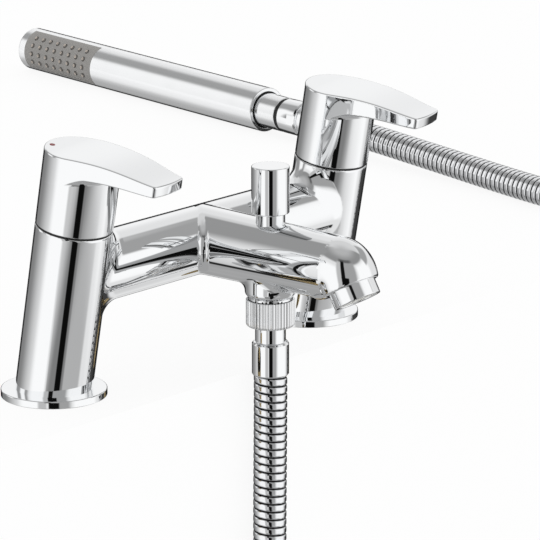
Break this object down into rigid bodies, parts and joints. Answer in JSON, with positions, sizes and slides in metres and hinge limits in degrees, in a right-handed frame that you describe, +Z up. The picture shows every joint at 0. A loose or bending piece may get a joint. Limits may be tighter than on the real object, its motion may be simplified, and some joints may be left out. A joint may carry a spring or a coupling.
{
  "type": "bath shower mixer",
  "caption": "Chrome deck-mounted bath shower mixer with leaning pillars, lever handles, bridge spout, pull-up diverter, ribbed hose and stick handset.",
  "frame": {"origin": "on the deck's top face, midway between the two inlet pillars", "axes": "+Z up from the deck, -Y the way the spout points, +X from the hot pillar to the cold pillar"},
  "size_m": [0.5521, 0.637, 0.6017],
  "materials": {
    "chrome": "mirror chrome plate",
    "hose_metal": "polished ribbed steel",
    "brass": "machined",
    "ceramic": "polished ceramic",
    "black_rubber": "matte",
    "spray_rubber": "satin",
    "white_plastic": "moulded",
    "hot_red": "gloss"
  },
  "bodies": {
    "mixer": {"body_casting": "chrome", "hot_flange": "chrome", "cold_flange": "chrome", "diverter_bush": "chrome", "aerator_housing": "chrome", "outlet_nut": "chrome", "outlet_ferrule": "chrome", "handset_ferrule": "chrome", "handset_nut": "chrome", "shower_hose": "hose_metal", "hot_tail": "brass", "cold_tail": "brass", "hot_back_nut": "brass", "cold_back_nut": "brass", "hot_cartridge": "brass", "cold_cartridge": "brass", "shower_nipple": "brass", "hot_fixed_disc": "ceramic", "cold_fixed_disc": "ceramic", "hot_gasket": "black_rubber", "cold_gasket": "black_rubber", "hot_back_washer": "black_rubber", "cold_back_washer": "black_rubber", "hot_seat_seal": "black_rubber", "cold_seat_seal": "black_rubber", "aerator_washer": "black_rubber", "outlet_washer": "black_rubber", "handset_washer": "black_rubber", "aerator_straightener": "white_plastic", "check_valve": "white_plastic"},
    "hot_control": {"hot_handle": "chrome", "hot_grub_screw": "brass", "hot_spindle": "brass", "hot_spindle_ring": "black_rubber", "hot_turning_disc": "ceramic", "hot_indicator": "hot_red"},
    "cold_control": {"cold_handle": "chrome", "cold_grub_screw": "brass", "cold_spindle": "brass", "cold_spindle_ring": "black_rubber", "cold_turning_disc": "ceramic"},
    "diverter": {"diverter_knob": "chrome", "diverter_rod": "brass", "diverter_plunger": "brass", "diverter_seal": "black_rubber"},
    "handset": {"handset_seal_ring": "black_rubber", "handset_neck": "chrome", "handset_tube": "chrome", "handset_water_tube": "white_plastic", "spray_face": "spray_rubber", "spray_nozzles": "spray_rubber", "handset_end_cap": "chrome"}
  },
  "joints": [
    {"name": "hot_lever_turn", "type": "hinge", "parent": "mixer", "child": "hot_control", "pos_m": [-0.09, 0, 0.0035], "axis": [0, -0.1788, 0.9839], "range_deg": [0, 90]},
    {"name": "cold_lever_turn", "type": "hinge", "parent": "mixer", "child": "cold_control", "pos_m": [0.09, 0, 0.0035], "axis": [0, -0.1788, 0.9839], "range_deg": [0, 90]},
    {"name": "diverter_lift", "type": "slide", "parent": "mixer", "child": "diverter", "axis": [0, 0, 1], "range_m": [0, 0.008]},
    {"name": "handset_swivel", "type": "hinge", "parent": "mixer", "child": "handset", "pos_m": [0.3784, 0.2475, 0.0133], "axis": [0.1702, 0.9854, 0], "continuous": true}
  ]
}
